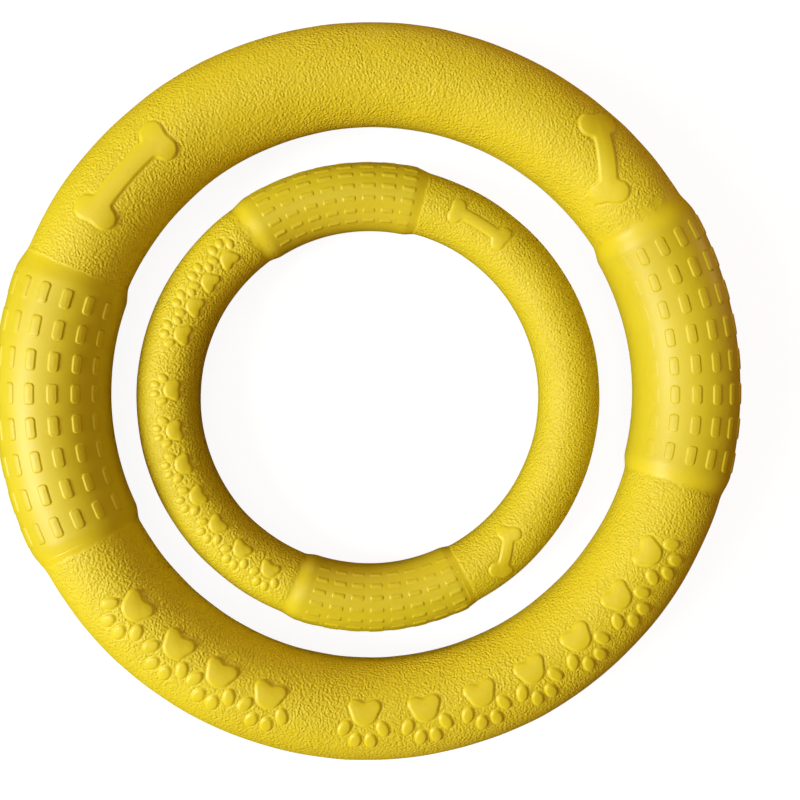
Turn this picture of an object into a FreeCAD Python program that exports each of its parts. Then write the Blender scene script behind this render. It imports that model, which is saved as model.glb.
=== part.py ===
import FreeCAD, Part
import Sketcher
import os
from math import cos, sin, radians, pi
from FreeCAD import Vector, Placement, Rotation

# Set of two moulded foam throw-and-catch rings, one lying inside the other.
# Each ring is a closed round tube of closed-cell foam. Two smooth grip
# sleeves are bonded round it, one on each side, and each sleeve carries
# rows of small raised nubs. The foam between the sleeves carries low raised
# paw and bone marks on its upper face.
#
# Frame: millimetres, +Z up, origin under the centre of the large ring, at
# the height of the surface on which both rings lie.

doc = FreeCAD.newDocument("foam_ring_set")

# ---------------------------------------------------------------- sheet
sheet = doc.addObject("Spreadsheet::Sheet", "Dims")
DIMS = [
    # large ring
    ("large_outer_dia", 280.0),
    ("large_tube_dia", 38.0),
    ("large_sleeve_wall", 1.6),
    ("large_sleeve_span", 49.2),
    ("large_sleeve_edge", 1.2),
    ("large_left_angle", 182.2),
    ("large_right_angle", 8.5),
    ("large_nub_height", 0.5),
    ("large_nub_width", 9.4),
    ("large_nub_sweep", 3.4),
    ("large_mark_height", 1.0),
    # small ring
    ("small_outer_dia", 180.0),
    ("small_tube_dia", 24.0),
    ("small_sleeve_wall", 1.1),
    ("small_sleeve_span", 49.4),
    ("small_sleeve_edge", 0.8),
    ("small_top_angle", 101.0),
    ("small_bottom_angle", 272.2),
    ("small_nub_height", 0.3),
    ("small_nub_width", 10.4),
    ("small_nub_sweep", 3.5),
    ("small_mark_height", 0.7),
    ("small_shift_side", -1.9),
    ("small_shift_down", -1.5),
    # shared by both nub fields
    ("nub_row_pitch", 5.56),
    ("nub_rows", 8),
    ("large_nub_column_pitch", 22.4),
    ("small_nub_column_pitch", 20.7),
    # how far each nub field sits off the middle of its sleeve, in degrees
    ("large_left_nub_shift", 0.0),
    ("large_right_nub_shift", 0.0),
    ("small_top_nub_shift", -1.07),
    ("small_bottom_nub_shift", 1.26),
]
for row, (name, value) in enumerate(DIMS, start=1):
    sheet.set("A%d" % row, name)
    sheet.set("B%d" % row, repr(value))
    sheet.setAlias("B%d" % row, name)
doc.recompute()


def dim(name):
    return float(getattr(sheet, name))


def origin_plane(body, role):
    for feature in body.Origin.OriginFeatures:
        if feature.Role == role:
            return feature
    raise RuntimeError("no plane " + role)


# Height of each ring's centre plane: the lowest nubs stand beside the
# bottom line of the tube, half a column pitch away from it.
def rest_height(size):
    return ("(Dims.%s_tube_dia / 2 + Dims.%s_sleeve_wall + Dims.%s_nub_height)"
            " * cos((Dims.%s_nub_column_pitch / 2 - Dims.%s_nub_width / 2) * 1 deg)"
            % (size, size, size, size, size))


def place(obj, size, turn=None):
    obj.Placement = Placement(Vector(0, 0, 0), Rotation(Vector(0, 0, 1), 0))
    if size == "small":
        obj.setExpression("Placement.Base.x", "Dims.small_shift_side")
        obj.setExpression("Placement.Base.y", "Dims.small_shift_down")
    obj.setExpression("Placement.Base.z", rest_height(size))
    if turn is not None:
        obj.Placement = Placement(Vector(0, 0, 0), Rotation(Vector(0, 0, 1), 1))
        obj.setExpression("Placement.Rotation.Angle", "Dims." + turn)


def spine(size):
    return "(Dims.%s_outer_dia - Dims.%s_tube_dia) / 2" % (size, size)


# ------------------------------------------------------------ foam ring
def foam_ring(size):
    """A full turn of a round section."""
    body = doc.addObject("PartDesign::Body", size + "_tube")
    sk = body.newObject("Sketcher::SketchObject", size + "_tube_section")
    sk.AttachmentSupport = [(origin_plane(body, "XZ_Plane"), "")]
    sk.MapMode = "FlatFace"
    rr = (dim(size + "_outer_dia") - dim(size + "_tube_dia")) / 2
    r = dim(size + "_tube_dia") / 2
    sk.addGeometry(Part.Circle(Vector(rr, 0, 0), Vector(0, 0, 1), r), False)
    sk.addConstraint(Sketcher.Constraint("PointOnObject", 0, 3, -1))
    sk.addConstraint(Sketcher.Constraint("DistanceX", -1, 1, 0, 3, rr))
    sk.renameConstraint(1, "spine")
    sk.addConstraint(Sketcher.Constraint("Radius", 0, r))
    sk.renameConstraint(2, "section")
    sk.setExpression("Constraints.spine", spine(size))
    sk.setExpression("Constraints.section", "Dims.%s_tube_dia / 2" % size)
    rev = body.newObject("PartDesign::Revolution", size + "_tube_turn")
    rev.Profile = sk
    rev.ReferenceAxis = (sk, ["V_Axis"])
    rev.Angle = 360.0
    doc.recompute()
    return body


# ----------------------------------------------------------- grip sleeve
def grip_sleeve(name, size, turn):
    """A bent tube that hugs the foam, with rounded ends and nubs all round
    it except along its innermost line."""
    body = doc.addObject("PartDesign::Body", name)
    body.Label = name
    rr = (dim(size + "_outer_dia") - dim(size + "_tube_dia")) / 2
    r_in = dim(size + "_tube_dia") / 2
    r_out = r_in + dim(size + "_sleeve_wall")
    sk = body.newObject("Sketcher::SketchObject", name + "_wall_section")
    sk.AttachmentSupport = [(origin_plane(body, "XZ_Plane"), "")]
    sk.MapMode = "FlatFace"
    sk.addGeometry([Part.Circle(Vector(rr, 0, 0), Vector(0, 0, 1), r_in),
                    Part.Circle(Vector(rr, 0, 0), Vector(0, 0, 1), r_out)], False)
    sk.addConstraint(Sketcher.Constraint("PointOnObject", 0, 3, -1))
    sk.addConstraint(Sketcher.Constraint("DistanceX", -1, 1, 0, 3, rr))
    sk.renameConstraint(1, "spine")
    sk.addConstraint(Sketcher.Constraint("Radius", 0, r_in))
    sk.renameConstraint(2, "inner")
    sk.addConstraint(Sketcher.Constraint("Coincident", 0, 3, 1, 3))
    sk.addConstraint(Sketcher.Constraint("Radius", 1, r_out))
    sk.renameConstraint(4, "outer")
    sk.setExpression("Constraints.spine", spine(size))
    sk.setExpression("Constraints.inner", "Dims.%s_tube_dia / 2" % size)
    sk.setExpression("Constraints.outer",
                     "Dims.%s_tube_dia / 2 + Dims.%s_sleeve_wall" % (size, size))
    rev = body.newObject("PartDesign::Revolution", name + "_wall")
    rev.Profile = sk
    rev.ReferenceAxis = (sk, ["V_Axis"])
    rev.Midplane = True
    rev.setExpression("Angle", "Dims.%s_sleeve_span" % size)
    doc.recompute()

    # rounded shoulders: the outer circle at each end of the wall
    edges = []
    for i, edge in enumerate(rev.Shape.Edges, start=1):
        curve = edge.Curve
        if isinstance(curve, Part.Circle) and abs(curve.Radius - r_out) < 1e-3:
            edges.append("Edge%d" % i)
    fil = body.newObject("PartDesign::Fillet", name + "_shoulders")
    fil.Base = (rev, edges)
    fil.setExpression("Radius", "Dims.%s_sleeve_edge" % size)
    doc.recompute()

    # one row of nubs: ring sectors of the section, seven above the middle
    # plane and seven below it
    pitch = dim(size + "_nub_column_pitch")
    half = dim(size + "_nub_width") / 2
    r_low = r_out - 0.5
    r_top = r_out + dim(size + "_nub_height")
    start = "-(Dims.nub_rows - 1) / 2 * Dims.nub_row_pitch"
    nk = body.newObject("Sketcher::SketchObject", name + "_nub_section")
    nk.AttachmentSupport = [(origin_plane(body, "XZ_Plane"), "")]
    nk.MapMode = "FlatFace"
    nk.AttachmentOffset = Placement(Vector(0, 0, 0), Rotation(Vector(0, 1, 0), -19.46))
    nk.setExpression("AttachmentOffset.Rotation.Angle",
                     "(Dims.nub_rows - 1) / 2 * Dims.nub_row_pitch + Dims.%s"
                     % turn.replace("_angle", "_nub_shift"))
    nk.addGeometry(Part.Circle(Vector(rr, 0, 0), Vector(0, 0, 1), r_low), True)
    nk.addGeometry(Part.Circle(Vector(rr, 0, 0), Vector(0, 0, 1), r_top), True)
    cons = [("PointOnObject", 0, 3, -1), ("DistanceX", -1, 1, 0, 3, rr),
            ("Radius", 0, r_low), ("Coincident", 0, 3, 1, 3), ("Radius", 1, r_top)]
    for c in cons:
        nk.addConstraint(Sketcher.Constraint(*c))
    nk.renameConstraint(1, "spine")
    nk.renameConstraint(2, "foot")
    nk.renameConstraint(4, "top")
    nk.setExpression("Constraints.spine", spine(size))
    nk.setExpression("Constraints.foot",
                     "Dims.%s_tube_dia / 2 + Dims.%s_sleeve_wall - 0.5" % (size, size))
    nk.setExpression("Constraints.top",
                     "Dims.%s_tube_dia / 2 + Dims.%s_sleeve_wall + Dims.%s_nub_height"
                     % (size, size, size))
    geo = 2
    for side in (1, -1):
        for k in (-3.5, -2.5, -1.5, -0.5, 0.5, 1.5, 2.5):
            mid = side * (90 + k * pitch)
            a0, a1 = radians(mid - half), radians(mid + half)
            p = [Vector(rr + q * cos(a), q * sin(a), 0)
                 for q, a in ((r_low, a0), (r_top, a0), (r_top, a1), (r_low, a1))]
            low = Part.ArcOfCircle(Part.Circle(Vector(rr, 0, 0), Vector(0, 0, 1), r_low), a0, a1)
            top = Part.ArcOfCircle(Part.Circle(Vector(rr, 0, 0), Vector(0, 0, 1), r_top), a0, a1)
            nk.addGeometry([low, top, Part.LineSegment(p[0], p[1]),
                            Part.LineSegment(p[3], p[2])], False)
            lo, to, s0, s1 = geo, geo + 1, geo + 2, geo + 3
            nk.addConstraint([
                Sketcher.Constraint("Coincident", lo, 3, 0, 3),
                Sketcher.Constraint("Coincident", to, 3, 0, 3),
                Sketcher.Constraint("Equal", lo, 0),
                Sketcher.Constraint("Equal", to, 1),
                Sketcher.Constraint("Coincident", s0, 1, lo, 1),
                Sketcher.Constraint("Coincident", s0, 2, to, 1),
                Sketcher.Constraint("Coincident", s1, 1, lo, 2),
                Sketcher.Constraint("Coincident", s1, 2, to, 2),
                Sketcher.Constraint("PointOnObject", 0, 3, s0),
                Sketcher.Constraint("PointOnObject", 0, 3, s1),
            ])
            n = nk.ConstraintCount
            nk.addConstraint(Sketcher.Constraint("Angle", s0, a0))
            nk.addConstraint(Sketcher.Constraint("Angle", s1, a1))
            tag = "%s%d" % ("up" if side > 0 else "down", int(k * 2 + 8))
            nk.renameConstraint(n, tag + "_a")
            nk.renameConstraint(n + 1, tag + "_b")
            base = "%d * (90 + %s * Dims.%s_nub_column_pitch)" % (side, k, size)
            nk.setExpression("Constraints.%s_a" % tag,
                             "%s - Dims.%s_nub_width / 2" % (base, size))
            nk.setExpression("Constraints.%s_b" % tag,
                             "%s + Dims.%s_nub_width / 2" % (base, size))
            geo += 4
    doc.recompute()
    nub = body.newObject("PartDesign::Revolution", name + "_nub_row")
    nub.Profile = nk
    nub.ReferenceAxis = (nk, ["V_Axis"])
    nub.Midplane = True
    nub.setExpression("Angle", "Dims.%s_nub_sweep" % size)
    doc.recompute()
    pat = body.newObject("PartDesign::PolarPattern", name + "_nubs")
    pat.Originals = [nub]
    pat.Axis = (nk, ["V_Axis"])
    pat.setExpression("Angle", "(Dims.nub_rows - 1) * Dims.nub_row_pitch")
    pat.setExpression("Occurrences", "Dims.nub_rows")
    pat.Reversed = True
    body.Tip = pat
    doc.recompute()
    # every nub has to be there: each has one outer face on the torus of the nub tops
    tops = [f for f in body.Shape.Faces
            if isinstance(f.Surface, Part.Toroid) and abs(f.Surface.MinorRadius - r_top) < 1e-3]
    if len(tops) != 14 * int(dim("nub_rows")):
        raise RuntimeError("%s has %d nubs" % (name, len(tops)))
    place(body, size, turn)
    doc.recompute()
    return body


# ------------------------------------------------------------ relief marks
# A mark is drawn on the tube in two directions measured in millimetres on
# the foam's skin: u along the ring and v across the tube, outward positive.
# It is a group of round pads and straight bars cut off at the mark height.
def skin_frame(size, theta, u, v):
    rr = (dim(size + "_outer_dia") - dim(size + "_tube_dia")) / 2
    r = dim(size + "_tube_dia") / 2
    phi = pi / 2 - v / r
    th = radians(theta) + u / rr
    radial = Vector(cos(th), sin(th), 0)
    normal = radial * cos(phi) + Vector(0, 0, 1) * sin(phi)
    along = Vector(-sin(th), cos(th), 0)
    return radial * rr + normal * r, normal, along


def pad(size, theta, u, v, radius):
    at, normal, along = skin_frame(size, theta, u, v)
    return Part.makeCylinder(radius, 8.0, at - normal * 5.0, normal)


def bar(size, theta, u0, v0, u1, v1, width):
    um, vm = (u0 + u1) / 2, (v0 + v1) / 2
    at, normal, along = skin_frame(size, theta, um, vm)
    across = along.cross(normal)
    if across.dot(skin_frame(size, theta, um, vm + 1)[0] - at) < 0:
        across = across * -1
    run = along * (u1 - u0) + across * (v1 - v0)
    length = run.Length
    x = run.normalize()
    y = normal.cross(x)
    box = Part.makeBox(length, width, 8.0, Vector(0, -width / 2, -5.0))
    m = FreeCAD.Matrix(x.x, y.x, normal.x, at.x - x.x * length / 2,
                       x.y, y.y, normal.y, at.y - x.y * length / 2,
                       x.z, y.z, normal.z, at.z - x.z * length / 2,
                       0, 0, 0, 1)
    box.Placement = Placement(m)
    return box


def paw(size, theta, scale):
    spots = [(0.0, -4.4, 5.0), (-6.6, 2.2, 2.1), (-2.5, 6.6, 2.2), (2.5, 6.6, 2.2), (6.6, 2.2, 2.1)]
    return [pad(size, theta, u * scale, v * scale, r * scale) for u, v, r in spots]


def bone(size, theta, length, tilt, scale):
    ca, sa = cos(radians(tilt)), sin(radians(tilt))
    half = length / 2
    out = []
    for e in (-1, 1):
        for w in (-1, 1):
            a, b = e * half, w * 3.6 * scale
            out.append(pad(size, theta, a * ca - b * sa, a * sa + b * ca, 4.2 * scale))
    out.append(bar(size, theta, -half * ca, -half * sa, half * ca, half * sa, 6.4 * scale))
    return out


def marks(size, paws, bones, scale):
    """All marks of a ring as one shape, trimmed to the mark height."""
    rr = (dim(size + "_outer_dia") - dim(size + "_tube_dia")) / 2
    r = dim(size + "_tube_dia") / 2
    groups = [paw(size, t, scale) for t in paws]
    groups += [bone(size, t, l, tilt, scale) for t, l, tilt in bones]
    skin = Part.makeTorus(rr, r + dim(size + "_mark_height"))
    core = Part.makeTorus(rr, r - 1.5)
    solids = []
    for g in groups:
        blank = g[0].multiFuse(g[1:])
        solids += blank.common(skin).cut(core).Solids
    feat = doc.addObject("Part::Feature", size + "_marks")
    feat.Shape = Part.makeCompound(solids)
    return feat


LARGE_PAWS = (329.5, 319.6, 309.0, 298.6, 288.4, 277.8, 266.8, 249.2, 239.6, 230.4, 220.4)
LARGE_BONES = ((139.2, 34.0, 0.0), (46.6, 26.0, 38.0))
SMALL_PAWS = (238.3, 228.4, 218.5, 208.6, 198.7, 188.8, 177.2, 161.2, 152.6, 144.4, 136.0)
SMALL_BONES = ((58.8, 20.0, 0.0), (310.8, 15.0, -38.0))

tubes = {}
for size, paws, bones, scale in (("large", LARGE_PAWS, LARGE_BONES, 1.0),
                                 ("small", SMALL_PAWS, SMALL_BONES, 0.62)):
    tube = foam_ring(size)
    relief = marks(size, paws, bones, scale)
    ring = doc.addObject("Part::MultiFuse", size + "_foam_ring")
    ring.Shapes = [tube, relief]
    ring.Label = size + "_foam_ring"
    doc.recompute()
    place(ring, size)
    doc.recompute()
    tubes[size] = ring

parts = [tubes["large"],
         grip_sleeve("large_grip_sleeve_left", "large", "large_left_angle"),
         grip_sleeve("large_grip_sleeve_right", "large", "large_right_angle"),
         tubes["small"],
         grip_sleeve("small_grip_sleeve_top", "small", "small_top_angle"),
         grip_sleeve("small_grip_sleeve_bottom", "small", "small_bottom_angle")]

doc.recompute()
for obj in doc.Objects:
    if "Invalid" in obj.State or "Error" in obj.State:
        raise RuntimeError("failed: %s %s" % (obj.Name, obj.State))

os.makedirs("parts", exist_ok=True)
for obj in parts:
    shape = obj.Shape
    if shape.isNull() or not shape.isValid():
        raise RuntimeError("bad shape: " + obj.Label)
    if len(shape.Solids) != 1:
        raise RuntimeError("%s has %d solids" % (obj.Label, len(shape.Solids)))
    bb = shape.BoundBox
    print("%-26s vol %9.1f mm3  x %.2f..%.2f  y %.2f..%.2f  z %.3f..%.3f  faces %d"
          % (obj.Label, shape.Volume, bb.XMin, bb.XMax, bb.YMin, bb.YMax, bb.ZMin, bb.ZMax,
             len(shape.Faces)))
    shape.exportStep("parts/%s.step" % obj.Label)
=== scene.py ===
import math
import bpy
import numpy as np
from mathutils import Matrix, Vector


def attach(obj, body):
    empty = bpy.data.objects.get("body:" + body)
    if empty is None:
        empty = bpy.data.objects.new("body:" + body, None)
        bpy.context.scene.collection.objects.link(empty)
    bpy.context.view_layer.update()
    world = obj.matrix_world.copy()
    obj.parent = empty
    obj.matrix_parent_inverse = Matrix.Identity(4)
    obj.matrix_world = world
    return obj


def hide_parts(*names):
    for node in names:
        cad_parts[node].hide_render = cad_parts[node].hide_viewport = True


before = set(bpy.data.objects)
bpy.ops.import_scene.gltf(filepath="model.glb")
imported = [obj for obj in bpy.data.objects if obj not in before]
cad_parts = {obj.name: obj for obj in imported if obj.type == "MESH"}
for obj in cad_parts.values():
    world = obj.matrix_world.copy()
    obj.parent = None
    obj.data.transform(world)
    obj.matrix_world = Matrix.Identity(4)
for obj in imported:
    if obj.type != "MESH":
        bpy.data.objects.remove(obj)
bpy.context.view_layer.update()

# ------------------------------------------------------------------ sizes
# Millimetres, as in the design. Everything is made in millimetres and
# turned into metres at the end.
SIZES = {
    "large": dict(R=121.0, r=19.0, wall=1.6, nub=0.5, nub_w=9.4, nub_s=3.4, mark=1.0, pitch=22.4,
                  centre=(0.0, 0.0), span=49.2, scale=1.0),
    "small": dict(R=78.0, r=12.0, wall=1.1, nub=0.3, nub_w=10.4, nub_s=3.5, mark=0.7, pitch=20.7,
                  centre=(-1.9, -1.5), span=49.4, scale=0.62),
}
ROWS, ROW_PITCH = 8, 5.56
for s in SIZES.values():
    s["z"] = (s["r"] + s["wall"] + s["nub"]) * math.cos(math.radians(s["pitch"] / 2 - s["nub_w"] / 2))

LARGE_PAWS = (329.5, 319.6, 309.0, 298.6, 288.4, 277.8, 266.8, 249.2, 239.6, 230.4, 220.4)
LARGE_BONES = ((139.2, 34.0, 0.0), (46.6, 26.0, 38.0))
SMALL_PAWS = (238.3, 228.4, 218.5, 208.6, 198.7, 188.8, 177.2, 161.2, 152.6, 144.4, 136.0)
SMALL_BONES = ((58.8, 20.0, 0.0), (310.8, 15.0, -38.0))
# millimetres over which the grain dies out before each sleeve: (clockwise end, other end)
FADE = {
    "large_grip_sleeve_left": (1.1, 1.6),
    "large_grip_sleeve_right": (3.0, 8.0),
    "small_grip_sleeve_top": (1.4, 5.0),
    "small_grip_sleeve_bottom": (3.6, 1.6),
}
SLEEVES = {
    "large_grip_sleeve_left": ("large", 182.2),
    "large_grip_sleeve_right": ("large", 8.5),
    "small_grip_sleeve_top": ("small", 101.0),
    "small_grip_sleeve_bottom": ("small", 272.2),
}
# degrees by which each nub field sits off the middle of its sleeve
NUB_SHIFT = {"small_grip_sleeve_top": -1.07, "small_grip_sleeve_bottom": 1.26}
# and, in degrees round the tube, off its even places on the upper side
COLUMN_SHIFT = {("large_grip_sleeve_right", 1): -2.8}
# how proud each column of nubs still stands, from the outermost to the innermost
WEAR = {
    "large_grip_sleeve_left": (0.55, 0.85, 1.0, 1.1, 1.1, 1.1, 1.2),
    "large_grip_sleeve_right": (0.55, 1.0, 1.1, 1.0, 1.0, 0.75, 0.18),
    "small_grip_sleeve_top": (0.55, 0.85, 1.0, 1.0, 1.0, 1.0, 0.70),
    "small_grip_sleeve_bottom": (0.55, 0.85, 1.0, 1.0, 1.0, 0.80, 0.50),
}


def smooth(a, b, x):
    t = np.clip((x - a) / (b - a), 0.0, 1.0)
    return t * t * (3 - 2 * t)


def wrap(deg):
    return (deg + 180.0) % 360.0 - 180.0


def waves(p, seed, octaves):
    """Smooth uneven field from a few seeded plane waves, about -1 to 1. p is in millimetres."""
    rng = np.random.RandomState(seed)
    out = np.zeros(p.shape[:-1])
    for length, amount, count in octaves:
        for _ in range(count):
            d = rng.normal(size=3)
            d /= np.linalg.norm(d)
            k = 2 * math.pi / (length * rng.uniform(0.75, 1.3))
            out += amount / math.sqrt(count) * np.sin(p @ d * k + rng.uniform(0, 6.283))
    return out


# ------------------------------------------------------- relief on the foam
def ellipse(u, v, cu, cv, ru, rv, turn=0.0):
    c, s = math.cos(math.radians(turn)), math.sin(math.radians(turn))
    a, b = (u - cu) * c + (v - cv) * s, -(u - cu) * s + (v - cv) * c
    q = np.sqrt((a / ru) ** 2 + (b / rv) ** 2)
    g = np.sqrt((a / ru ** 2) ** 2 + (b / rv ** 2) ** 2) + 1e-9
    return np.where(q > 1e-6, q * (q - 1) / g, -min(ru, rv))


def join(a, b, k):
    h = np.clip(0.5 + 0.5 * (b - a) / k, 0, 1)
    return b * (1 - h) + a * h - k * h * (1 - h)


def paw_shape(u, v, k):
    """Signed distance in millimetres to a paw print, toes outward."""
    u, v = u / k, v / k
    d = ellipse(u, v, 0.0, -3.6, 4.7, 4.0)
    d = join(d, ellipse(u, v, -3.3, -6.2, 3.0, 2.5, 20), 1.8)
    d = join(d, ellipse(u, v, 3.3, -6.2, 3.0, 2.5, -20), 1.8)
    for cu, cv, t in ((-7.0, 1.6, 24), (-2.75, 6.4, 8), (2.75, 6.4, -8), (7.0, 1.6, -24)):
        d = np.minimum(d, ellipse(u, v, cu, cv, 2.05, 3.1, t))
    return d * k


def bone_shape(u, v, length, tilt, k):
    c, s = math.cos(math.radians(tilt)), math.sin(math.radians(tilt))
    a, b = u * c + v * s, -u * s + v * c
    half = length / 2
    q = np.maximum(np.abs(a) - half, 0.0)
    d = np.hypot(q, b) - 3.3 * k
    for e in (-1, 1):
        for w in (-1, 1):
            d = join(d, np.hypot(a - e * half, b - w * 3.6 * k) - 4.2 * k, 1.8 * k)
    return d


def relief(size, theta, phi):
    """Height of the raised marks and how smooth the skin is, on the foam. theta and phi are grids in degrees."""
    s = SIZES[size]
    h = np.zeros(theta.shape)
    skin = np.zeros(theta.shape)
    v = np.radians(90.0 - phi) * s["r"]
    items = [(t, None) for t in (LARGE_PAWS if size == "large" else SMALL_PAWS)]
    items += [(b[0], b) for b in (LARGE_BONES if size == "large" else SMALL_BONES)]
    k = s["scale"]
    for t, b in items:
        u = np.radians(wrap(theta - t)) * s["R"]
        near = (np.abs(u) < 40 * k) & (np.abs(v) < 24 * k)
        uu, vv = u[near], v[near]
        d = paw_shape(uu, vv, k) if b is None else bone_shape(uu, vv, b[1], b[2], k)
        edge = 0.45 * (0.75 + 0.25 * k)
        top = s["mark"] * (1 - smooth(-edge, edge, d)) * (0.86 + 0.14 * smooth(0.0, 3.2 * k, -d))
        h[near] = np.maximum(h[near], top)
        skin[near] = np.maximum(skin[near], 1 - smooth(0.1, 1.1, d))
    return h, skin


def positions(lo, hi, fine_parts, fine, coarse):
    """Sample positions from lo to hi, closer together inside fine_parts."""
    out = [lo]
    x = lo
    while x < hi - 1e-9:
        step = coarse
        for a, b in fine_parts:
            if a <= x < b:
                step = fine
                break
            if x < a < x + step:
                step = max(a - x, fine * 0.5)
        x = min(x + step, hi)
        out.append(x)
    if out[-1] - out[-2] < fine * 0.4 and len(out) > 2:
        del out[-2]
    return np.array(out)


# ------------------------------------------------------------ mesh making
def grid_mesh(name, pts, uv_u, uv_v, loop_strip=None, attrs=None):
    """A closed skin from a grid of points that wraps round both ways.
    uv_u has one more value than there are columns, uv_v likewise."""
    ni, nj = pts.shape[:2]
    me = bpy.data.meshes.new(name)
    i, j = np.meshgrid(np.arange(ni), np.arange(nj), indexing="ij")
    i2, j2 = (i + 1) % ni, (j + 1) % nj
    quads = np.stack([i * nj + j, i2 * nj + j, i2 * nj + j2, i * nj + j2], -1).reshape(-1, 4)
    me.vertices.add(ni * nj)
    me.vertices.foreach_set("co", (pts.reshape(-1, 3) * 0.001).astype(np.float32).ravel())
    me.loops.add(quads.size)
    me.loops.foreach_set("vertex_index", quads.ravel().astype(np.int32))
    me.polygons.add(len(quads))
    me.polygons.foreach_set("loop_start", np.arange(0, quads.size, 4, dtype=np.int32))
    me.polygons.foreach_set("loop_total", np.full(len(quads), 4, dtype=np.int32))
    me.polygons.foreach_set("use_smooth", np.ones(len(quads), dtype=bool))
    me.update(calc_edges=True)
    me.validate()
    u0, u1 = uv_u[0][i], uv_u[1][i]
    v0, v1 = uv_v[0][j], uv_v[1][j]
    if loop_strip is not None:
        base = loop_strip[i]
        v0, v1 = v0 + base, v1 + base
    uv = np.stack([u0, v0, u1, v0, u1, v1, u0, v1], -1).reshape(-1, 2).astype(np.float32)
    layer = me.uv_layers.new(name="OFBake")
    layer.data.foreach_set("uv", uv.ravel())
    for key, values in (attrs or {}).items():
        a = me.attributes.new(key, "FLOAT", "POINT")
        a.data.foreach_set("value", values.astype(np.float32).ravel())
    ob = bpy.data.objects.new(name, me)
    bpy.context.scene.collection.objects.link(ob)
    return ob


def tube_points(s, theta, phi, radius):
    th, ph = np.radians(theta), np.radians(phi)
    ring = s["R"] + radius * np.cos(ph)
    return np.stack([s["centre"][0] + ring * np.cos(th),
                     s["centre"][1] + ring * np.sin(th),
                     s["z"] + radius * np.sin(ph)], -1)


def shoulder_rise(s, mm):
    """How far the outer surface stands over the foam, mm inside the sleeve's end.
    The swelling starts on the foam just outside the sleeve."""
    k = s["scale"]
    return s["wall"] * smooth(-2.6 * (0.5 + 0.5 * k), 6.4 * (0.35 + 0.65 * k), mm)


def make_foam(size):
    s = SIZES[size]
    k = s["scale"]
    deg = math.degrees(1.0 / s["R"])            # degrees of theta per millimetre
    pdeg = math.degrees(1.0 / s["r"])
    fine_t, coarse_t = 0.5 * deg, 1.6 * deg
    parts = []
    for t in (LARGE_PAWS if size == "large" else SMALL_PAWS):
        parts.append(((t - 10.5 * k * deg) % 360, (t + 10.5 * k * deg) % 360))
    for t, length, tilt in (LARGE_BONES if size == "large" else SMALL_BONES):
        reach = (length / 2 * math.cos(math.radians(tilt)) + 8.5 * k) * deg
        parts.append(((t - reach) % 360, (t + reach) % 360))
    for n, (z, a) in SLEEVES.items():
        if z == size:
            for e in (-1, 1):
                c = (a + e * s["span"] / 2) % 360
                parts.append(((c - 3.4 * deg) % 360, (c + 3.4 * deg) % 360))
    flat = []
    for a, b in parts:
        flat += [(a, b)] if a < b else [(a, 360.0), (0.0, b)]
    theta = positions(0.0, 360.0, flat, fine_t * (0.5 + 0.5 * k), coarse_t * k)
    reach = 14.0 * k * pdeg
    phi = positions(-180.0, 180.0, [(90 - reach, 90 + reach)], 0.5 * (0.5 + 0.5 * k) * pdeg, 1.5 * k * pdeg)
    T, P = np.meshgrid(theta[:-1], phi[:-1], indexing="ij")
    h, skin = relief(size, T, P)
    radius = s["r"] + h
    base = tube_points(s, T, P, s["r"])
    radius += 0.10 * waves(base, 11 if size == "large" else 23, ((55, 0.8, 6), (19, 0.45, 8)))
    # moulding seam round the outer and inner middle line
    for mid in (0.0, 180.0):
        off = np.radians(wrap(P - mid)) * s["r"] + 0.12 * np.sin(np.radians(T) * 9 + mid)
        radius += 0.11 * np.exp(-(off / 0.45) ** 2)
        skin = np.maximum(skin, 0.75 * np.exp(-(off / 0.9) ** 2))
    # the foam is a little thinner where a sleeve hugs it
    for n, (z, a) in SLEEVES.items():
        if z == size:
            inside = s["span"] / 2 - np.abs(wrap(T - a))        # degrees
            mm = inside / deg
            radius = np.where(mm > -4, s["r"] + (radius - s["r"]) * smooth(0.0, -4.0, mm), radius)
            # it carries on rising under the sleeve's thin end, then drops away below it
            tuck = 2.4 * (0.5 + 0.5 * k)
            radius += np.where(mm < tuck, shoulder_rise(s, mm), 0.0)
            radius = np.where(mm >= tuck, s["r"] - 0.35 * smooth(tuck, tuck + 1.2, mm), radius)
            # the grain dies out over a different length at each end
            far = np.where(wrap(T - a) > 0, FADE[n][1], FADE[n][0])
            ragged = waves(base, 31 + len(n), ((5.0, 1.0, 8), (2.4, 0.6, 8)))
            skin = np.maximum(skin, smooth(-far, -0.1 * far, mm + 0.12 * far * ragged))
    pts = tube_points(s, T, P, radius)
    strips = 3
    third = 360.0 / strips
    a0, a1 = theta[:-1], theta[1:]
    strip = np.minimum((0.5 * (a0 + a1) // third).astype(int), strips - 1)
    # strips don't break exactly on a sample, so each keeps its own range
    u0, u1 = np.empty(len(a0)), np.empty(len(a0))
    for n in range(strips):
        m = strip == n
        lo, hi = a0[m].min(), a1[m].max()
        u0[m], u1[m] = 0.004 + 0.992 * (a0[m] - lo) / (hi - lo), 0.004 + 0.992 * (a1[m] - lo) / (hi - lo)
    vv = 0.004 + (1.0 / strips - 0.008) * (phi + 180.0) / 360.0
    ob = grid_mesh(size + "_foam_ring_skin", pts, (u0, u1), (vv[:-1], vv[1:]),
                   loop_strip=strip / strips, attrs={"smooth_skin": skin})
    return ob


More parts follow.
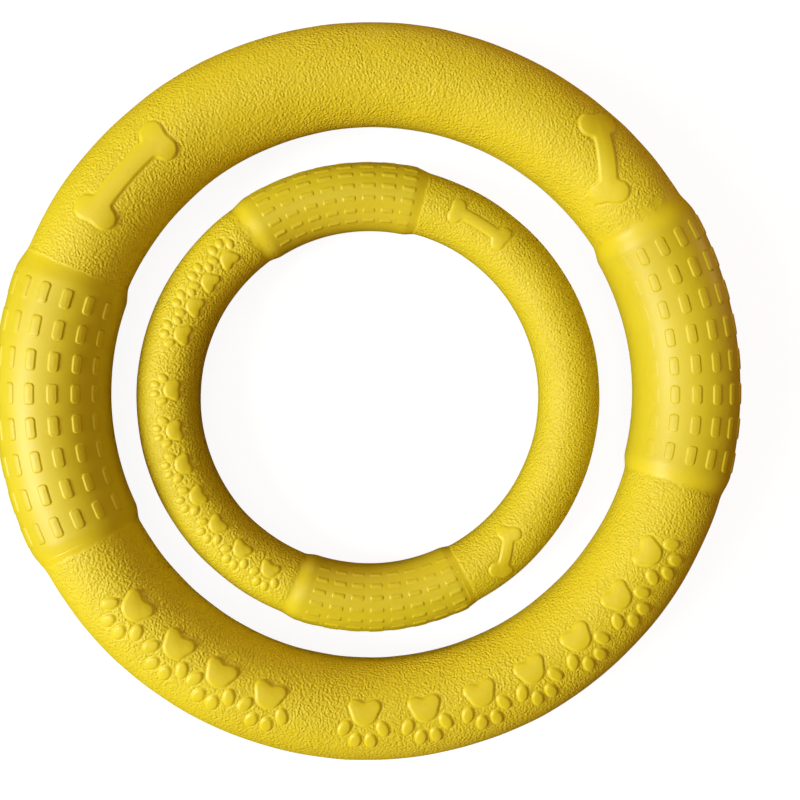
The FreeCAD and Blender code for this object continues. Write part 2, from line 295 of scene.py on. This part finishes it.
def make_sleeve(name):
    size, angle = SLEEVES[name]
    s = SIZES[size]
    k = s["scale"]
    deg = math.degrees(1.0 / s["R"])
    half = s["span"] / 2
    nub_half = s["nub_s"] / 2
    rows = [(i - (ROWS - 1) / 2) * ROW_PITCH + NUB_SHIFT.get(name, 0.0) for i in range(ROWS)]
    cols = [side * (90 + c * s["pitch"] + COLUMN_SHIFT.get((name, side), 0.0))
            for side in (1, -1) for c in (-3.5, -2.5, -1.5, -0.5, 0.5, 1.5, 2.5)]
    fine = (0.22 if size == "large" else 0.17)
    lip, corner = 0.45, 1.15 if size == "large" else 0.8
    edges = []
    for r in rows:
        edges += [(r - nub_half - lip * deg, r - nub_half + corner * deg),
                  (r + nub_half - corner * deg, r + nub_half + lip * deg)]
    th = positions(-half, half, [(-half, -half + 2.0 * deg), (half - 2.0 * deg, half)] + edges,
                   fine * deg, 0.8 * deg)
    pd = math.degrees(1.0 / (s["r"] + s["wall"]))
    nub_w = s["nub_w"] / 2
    ph = positions(-180.0, 180.0,
                   sorted((c - nub_w - lip * pd, c + nub_w + lip * pd) for c in cols),
                   fine * pd, 0.9 * pd)
    T, P = np.meshgrid(th, ph[:-1], indexing="ij")
    mm = (half - np.abs(T)) / deg                # distance from the nearer end, at the spine
    # long soft shoulder at each end that carries on the foam's own swelling
    radius = s["r"] + np.minimum(shoulder_rise(s, mm) - 0.04 + 0.06 * smooth(0.0, 2.2 * (0.5 + 0.5 * k), mm), s["wall"])
    rise = smooth(0.0, 6.0, mm)
    # nubs: rounded rectangles with a soft edge
    edge = 0.20 if size == "large" else 0.18
    proud = s["nub"] + (0.0 if size == "large" else 0.04)
    for r in rows:
        for c in cols:
            near = (np.abs(T - r) < nub_half + 1.2 * deg) & (np.abs(wrap(P - c)) < nub_w + 1.2 * pd)
            if not near.any():
                continue
            ring = s["R"] + (s["r"] + s["wall"]) * math.cos(math.radians(c))
            a = np.radians(T[near] - r) * ring
            b = np.radians(wrap(P[near] - c)) * (s["r"] + s["wall"])
            ha = math.radians(nub_half) * ring
            hb = math.radians(nub_w) * (s["r"] + s["wall"])
            hb *= 1.0 - 0.12 * max(0.0, (abs(c) - 90) / 60)
            cr = min(1.15 if size == "large" else 0.70, ha, hb)
            qa, qb = np.abs(a) - ha + cr, np.abs(b) - hb + cr
            d = np.hypot(np.maximum(qa, 0), np.maximum(qb, 0)) + np.minimum(np.maximum(qa, qb), 0) - cr
            if size == "large":
                top = proud * (1 - smooth(-edge, edge, d))
            else:
                # the small nubs are sharp at their two ends and soft along their sides
                top = proud * (1 - smooth(-edge, edge, d)) * (1 - smooth(-1.00, 0.12, np.abs(b) - hb))
            # crowned, and each one a hair different in height
            top *= 1.0 + 0.10 * math.sin(r * 1.7 + c * 0.31 + len(name))
            top *= 0.80 + 0.20 * smooth(0.0, 1.8 * k, -d)
            column = int(round((abs(c) - 90) / s["pitch"] + 3.5))
            radius[near] += top * WEAR[name][column]
    base = tube_points(s, T + angle, P, s["r"])
    radius += 0.06 * rise * waves(base, 5 + len(name), ((60, 1.0, 6), (24, 0.4, 6)))
    outer = tube_points(s, T + angle, P, radius)
    # inner face of the sleeve, walked back to the first end
    inner_r = np.where(mm < 1.0, s["r"] + shoulder_rise(s, np.zeros(1))[0] - 0.12, s["r"] - 0.25)
    back = tube_points(s, T + angle, P, inner_r)[::-1]
    keep = np.unique(np.concatenate([[0, len(th) - 1], np.arange(0, len(th), 12),
                                     np.where((half - np.abs(th)) / deg < 2.0)[0]]))
    back = back[::-1][keep][::-1]
    pts = np.concatenate([outer, back], 0)
    n_out, n_in = len(outer), len(back)
    length = np.concatenate([(th + half) / s["span"] * 0.90,
                             0.915 + 0.08 * (1 - (th[keep][::-1] + half) / s["span"])])
    nxt = np.concatenate([length[1:], [1.0]])
    skin = np.ones(pts.shape[:2])
    end_tone = np.ones(pts.shape[:2])
    end_tone[:n_out] = 1.0 - smooth(0.8 * k, 6.5 * k, mm)
    vv = 0.004 + 0.992 * (ph + 180.0) / 360.0
    return grid_mesh(name + "_skin", pts, (length, nxt), (vv[:-1], vv[1:]),
                     attrs={"smooth_skin": skin, "end_tone": end_tone})


# --------------------------------------------------------------- materials
def node(nt, kind, x, y, **values):
    n = nt.nodes.new(kind)
    n.location = (x, y)
    for key, v in values.items():
        setattr(n, key, v)
    return n


def foam_material(name, grained, tones, end_tones=None):
    mat = bpy.data.materials.new(name)
    mat.use_nodes = True
    nt = mat.node_tree
    nt.nodes.clear()
    out = node(nt, "ShaderNodeOutputMaterial", 1200, 0)
    p = node(nt, "ShaderNodeBsdfPrincipled", 900, 0)
    nt.links.new(p.outputs["BSDF"], out.inputs["Surface"])
    co = node(nt, "ShaderNodeTexCoord", -1400, 0)
    at = node(nt, "ShaderNodeAttribute", -1400, -400, attribute_name="smooth_skin")
    L = nt.links.new

    def noise(scale, detail, rough, distort, x, y, kind="FBM", vec=None):
        n = node(nt, "ShaderNodeTexNoise", x, y)
        n.noise_dimensions = "3D"
        n.noise_type = kind
        n.inputs["Scale"].default_value = scale
        n.inputs["Detail"].default_value = detail
        n.inputs["Roughness"].default_value = rough
        n.inputs["Distortion"].default_value = distort
        L(vec if vec is not None else co.outputs["Object"], n.inputs["Vector"])
        return n

    def math_(op, a, b, x, y, clamp=False):
        m = node(nt, "ShaderNodeMath", x, y, operation=op, use_clamp=clamp)
        for slot_, v in enumerate((a, b)):
            if v is None:
                continue
            if isinstance(v, (int, float)):
                m.inputs[slot_].default_value = v
            else:
                L(v, m.inputs[slot_])
        return m.outputs[0]

    def ramp(src, stops, x, y, interp="LINEAR"):
        r = node(nt, "ShaderNodeValToRGB", x, y)
        r.color_ramp.interpolation = interp
        while len(r.color_ramp.elements) < len(stops):
            r.color_ramp.elements.new(0.5)
        for e, (pos, col) in zip(r.color_ramp.elements, stops):
            e.position = pos
            e.color = (*col, 1.0) if isinstance(col, tuple) else (col, col, col, 1.0)
        L(src, r.inputs["Fac"])
        return r.outputs["Color"]

    # slow change of tone over the moulding, and a fine mottle
    tone = noise(14, 3, 0.55, 0.0, -1000, 500).outputs["Fac"]
    mottle = noise(160, 4, 0.6, 0.3, -1000, 250).outputs["Fac"]
    colour = ramp(tone, tuple(zip((0.30, 0.50, 0.72), tones)), -600, 500)
    if end_tones:
        # the sleeve's thin ends take on the colour of the foam beside them
        ends = node(nt, "ShaderNodeAttribute", -1400, 700, attribute_name="end_tone")
        blend = node(nt, "ShaderNodeMix", -400, 650, data_type="RGBA")
        L(ends.outputs["Fac"], blend.inputs[0])
        L(colour, blend.inputs[6])
        L(ramp(tone, tuple(zip((0.30, 0.50, 0.72), end_tones)), -600, 750), blend.inputs[7])
        colour = blend.outputs[2]
    mix = node(nt, "ShaderNodeMix", -250, 400, data_type="RGBA", blend_type="MULTIPLY")
    mix.inputs[0].default_value = 1.0
    L(colour, mix.inputs[6])
    L(ramp(mottle, ((0.30, 0.955), (0.70, 1.0)), -600, 250), mix.inputs[7])
    colour = mix.outputs[2]

    if grained:
        # worm-like moulded grain: short raised ridges that lie every way
        warp = noise(300, 1, 0.5, 0.0, -1200, -100)
        sub = node(nt, "ShaderNodeVectorMath", -1000, -100, operation="SUBTRACT")
        L(warp.outputs["Color"], sub.inputs[0])
        sub.inputs[1].default_value = (0.5, 0.5, 0.5)
        sc = node(nt, "ShaderNodeVectorMath", -850, -100, operation="SCALE")
        L(sub.outputs[0], sc.inputs[0])
        sc.inputs["Scale"].default_value = 0.0005
        add = node(nt, "ShaderNodeVectorMath", -700, -100, operation="ADD")
        L(co.outputs["Object"], add.inputs[0])
        L(sc.outputs[0], add.inputs[1])
        turned = []
        for n, angles in enumerate(((0.7, 0.4, 0.2), (-0.5, 0.9, 1.1))):
            mp = node(nt, "ShaderNodeMapping", -620, -100 - 350 * n)
            mp.inputs["Rotation"].default_value = angles
            L(add.outputs[0], mp.inputs["Vector"])
            turned.append(noise(GRAIN_SCALE * (1.0 if n == 0 else 0.92), 0.0, 0.5, 0.0, -450, -100 - 350 * n,
                                vec=mp.outputs[0]).outputs["Fac"])
        worm = math_("MULTIPLY", math_("ADD", turned[0], turned[1], -150, -100), 0.71, 0, -100)
        # the grain is fainter in places
        patch = ramp(noise(38, 2, 0.5, 0.0, -1000, -650).outputs["Fac"], ((0.30, 0.62), (0.60, 1.0)), -800, -650)
        keep = math_("SUBTRACT", 1.0, at.outputs["Fac"], -600, -500, clamp=True)
        keep = math_("MULTIPLY", keep, patch, -400, -600)
        worm_h = math_("MULTIPLY", worm, keep, 450, -200)
        fine = noise(1500, 2, 0.6, 0.0, -500, -850).outputs["Fac"]
        height = math_("ADD", worm_h, math_("MULTIPLY", fine, 0.05, -300, -850), 600, -300)
        bump = node(nt, "ShaderNodeBump", 720, -300)
        bump.inputs["Strength"].default_value = GRAIN_STRENGTH
        bump.inputs["Distance"].default_value = GRAIN_DEPTH
        L(height, bump.inputs["Height"])
        L(bump.outputs["Normal"], p.inputs["Normal"])
        # painted shade: the grain's valleys are darkened in colour, standing in for the shade that falls in them
        valley_shade_mix = node(nt, "ShaderNodeMix", 500, 400, data_type="RGBA", blend_type="MULTIPLY")
        L(math_("MULTIPLY", keep, 1.0, 300, 200), valley_shade_mix.inputs[0])
        L(colour, valley_shade_mix.inputs[6])
        L(ramp(worm, ((0.70, (0.95, 0.94, 0.88)), (0.90, (1.0, 1.0, 1.0))), 300, 50), valley_shade_mix.inputs[7])
        colour = valley_shade_mix.outputs[2]
        rough = math_("MULTIPLY_ADD", keep, 0.13, 600, -50)
        rough.node.inputs[2].default_value = 0.44
    else:
        fine = noise(900, 3, 0.6, 0.0, -500, -350).outputs["Fac"]
        slow = noise(120, 2, 0.5, 0.0, -500, -600).outputs["Fac"]
        height = math_("ADD", math_("MULTIPLY", fine, 0.25, -300, -350), math_("MULTIPLY", slow, 0.5, -300, -600), -100, -400)
        bump = node(nt, "ShaderNodeBump", 720, -300)
        bump.inputs["Strength"].default_value = 0.5
        bump.inputs["Distance"].default_value = 0.00008
        L(height, bump.inputs["Height"])
        L(bump.outputs["Normal"], p.inputs["Normal"])
        rough = math_("MULTIPLY_ADD", mottle, 0.10, 600, -50)
        rough.node.inputs[2].default_value = 0.40
    L(colour, p.inputs["Base Color"])
    L(rough, p.inputs["Roughness"])
    p.inputs["Specular IOR Level"].default_value = 0.5
    p.inputs["IOR"].default_value = 1.48
    p.inputs["Sheen Weight"].default_value = 0.0
    p.inputs["Coat Weight"].default_value = 0.0
    return mat


def lin(r, g, b):
    f = lambda c: c / 12.92 if c <= 0.04045 else ((c + 0.055) / 1.055) ** 2.4
    return (f(r / 255), f(g / 255), f(b / 255))


FOAM = lin(229, 209, 31), lin(233, 213, 36), lin(236, 217, 41)
SLEEVE = lin(220, 200, 33), lin(224, 205, 38), lin(227, 209, 43)
GRAIN_SCALE, GRAIN_STRENGTH, GRAIN_DEPTH = 1230.0, 1.0, 0.00053

# ------------------------------------------------------------------ pieces
grained = foam_material("grained_foam", True, FOAM)
sleeve_skin = foam_material("smooth_sleeve", False, SLEEVE, FOAM)
for size in ("large", "small"):
    ob = make_foam(size)
    ob.data.materials.append(grained)
    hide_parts(size + "_foam_ring")
    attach(ob, size + "_ring")
for name, (size, angle) in SLEEVES.items():
    ob = make_sleeve(name)
    ob.data.materials.append(sleeve_skin)
    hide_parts(name)
    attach(ob, size + "_ring")

# ------------------------------------------------------------------- stage
floor_mesh = bpy.data.meshes.new("floor")
W = 3.0
floor_mesh.from_pydata([(-W, -W, 0), (W, -W, 0), (W, W, 0), (-W, W, 0)], [], [(0, 1, 2, 3)])
floor = bpy.data.objects.new("floor", floor_mesh)
floor.location.z = -0.0002
bpy.context.scene.collection.objects.link(floor)
fm = bpy.data.materials.new("floor")
fm.use_nodes = True
fb = fm.node_tree.nodes["Principled BSDF"]
fb.inputs["Base Color"].default_value = (0.16, 0.16, 0.16, 1)
fb.inputs["Roughness"].default_value = 0.95
fb.inputs["Specular IOR Level"].default_value = 0.0
fb.inputs["Emission Color"].default_value = (1, 1, 1, 1)
# soft shadows near the rings, plain white further out so that no horizon line shows
far_ = fm.node_tree.nodes.new("ShaderNodeVectorMath")
far_.operation = "LENGTH"
edge_ = fm.node_tree.nodes.new("ShaderNodeMapRange")
edge_.interpolation_type = "SMOOTHSTEP"
for key, value in (("From Min", 0.30), ("From Max", 1.30), ("To Min", 0.93), ("To Max", 1.0)):
    edge_.inputs[key].default_value = value
place_ = fm.node_tree.nodes.new("ShaderNodeTexCoord")
fm.node_tree.links.new(place_.outputs["Object"], far_.inputs[0])
fm.node_tree.links.new(far_.outputs["Value"], edge_.inputs["Value"])
fm.node_tree.links.new(edge_.outputs["Result"], fb.inputs["Emission Strength"])
floor_mesh.materials.append(fm)
# the pale floor shows the rings' soft shadows but throws no light back on them
floor.visible_diffuse = False
floor.visible_glossy = False
floor.visible_shadow = False

# a plain white backdrop above the floor, also only for the eye
me = bpy.data.meshes.new("backdrop")
rings, turns, dome = 8, 48, 2.9
verts = [(dome * math.cos(math.radians(a * 90 / rings - 1)) * math.cos(2 * math.pi * b / turns),
          dome * math.cos(math.radians(a * 90 / rings - 1)) * math.sin(2 * math.pi * b / turns),
          dome * math.sin(math.radians(a * 90 / rings - 1))) for a in range(rings) for b in range(turns)]
verts.append((0.0, 0.0, dome))
faces = [(a * turns + b, a * turns + (b + 1) % turns, (a + 1) * turns + (b + 1) % turns, (a + 1) * turns + b)
         for a in range(rings - 1) for b in range(turns)]
faces += [((rings - 1) * turns + b, (rings - 1) * turns + (b + 1) % turns, len(verts) - 1) for b in range(turns)]
me.from_pydata(verts, [], faces)
backdrop = bpy.data.objects.new("backdrop", me)
bpy.context.scene.collection.objects.link(backdrop)
bm_ = bpy.data.materials.new("backdrop")
bm_.use_nodes = True
bb = bm_.node_tree.nodes["Principled BSDF"]
bb.inputs["Base Color"].default_value = (0, 0, 0, 1)
bb.inputs["Specular IOR Level"].default_value = 0.0
bb.inputs["Emission Color"].default_value = (1, 1, 1, 1)
bb.inputs["Emission Strength"].default_value = 1.0
me.materials.append(bm_)
backdrop.visible_diffuse = False
backdrop.visible_glossy = False
backdrop.visible_shadow = False

world = bpy.data.worlds.new("studio")
bpy.context.scene.world = world
world.use_nodes = True
bg = world.node_tree.nodes["Background"]
bg.inputs["Color"].default_value = (1.0, 0.22, 0.03, 1)
bg.inputs["Strength"].default_value = 0.068


def area(name, azimuth, elevation, distance, size, power, colour=(1, 1, 1)):
    """A soft lamp at an azimuth seen from above (0 = +X, 90 = +Y), aimed at the rings."""
    a, e = math.radians(azimuth), math.radians(elevation)
    at = Vector((math.cos(a) * math.cos(e), math.sin(a) * math.cos(e), math.sin(e))) * distance
    data = bpy.data.lights.new(name, "AREA")
    data.shape = "DISK"
    data.size = size
    data.energy = power
    data.color = colour
    ob = bpy.data.objects.new(name, data)
    ob.location = at
    ob.rotation_euler = (-at).to_track_quat("-Z", "Y").to_euler()
    ob.visible_camera = False
    bpy.context.scene.collection.objects.link(ob)
    return ob


area("key", 192, 37, 1.6, 0.80, 25.0, (0.98, 1.035, 1.0))
area("top_fill", 160, 76, 1.8, 1.2, 8.4, (1.0, 0.84, 0.66))
area("back_fill", 85, 11, 1.6, 0.50, 5.0, (1.0, 0.70, 0.34))
area("right_fill", 20, 2.4, 0.60, 0.09, 0.36, (1.0, 0.62, 0.24))
area("front_fill", 275, 14, 1.6, 0.50, 3.9, (1.0, 0.64, 0.32))

view = bpy.context.scene.view_settings
view.view_transform = "Standard"
view.look = "None"
view.exposure = 0.0

# ------------------------------------------------------------------ camera
cam_data = bpy.data.cameras.new("camera")
cam = bpy.data.objects.new("camera", cam_data)
bpy.context.scene.collection.objects.link(cam)
tx, ty = math.radians(-1.94), math.radians(-5.30)
turn = Matrix.Rotation(ty, 4, "Y") @ Matrix.Rotation(tx, 4, "X")
z_mid = SIZES["large"]["z"]
cam.matrix_world = Matrix.Translation(Vector((-28.84, 11.63, 400.0 + z_mid)) * 0.001) @ turn
cam_data.sensor_width = 36.0
cam_data.lens = 1048.16 / 800 * 36.0
cam_data.clip_start = 0.01
bpy.context.scene.camera = cam

bpy.context.view_layer.update()
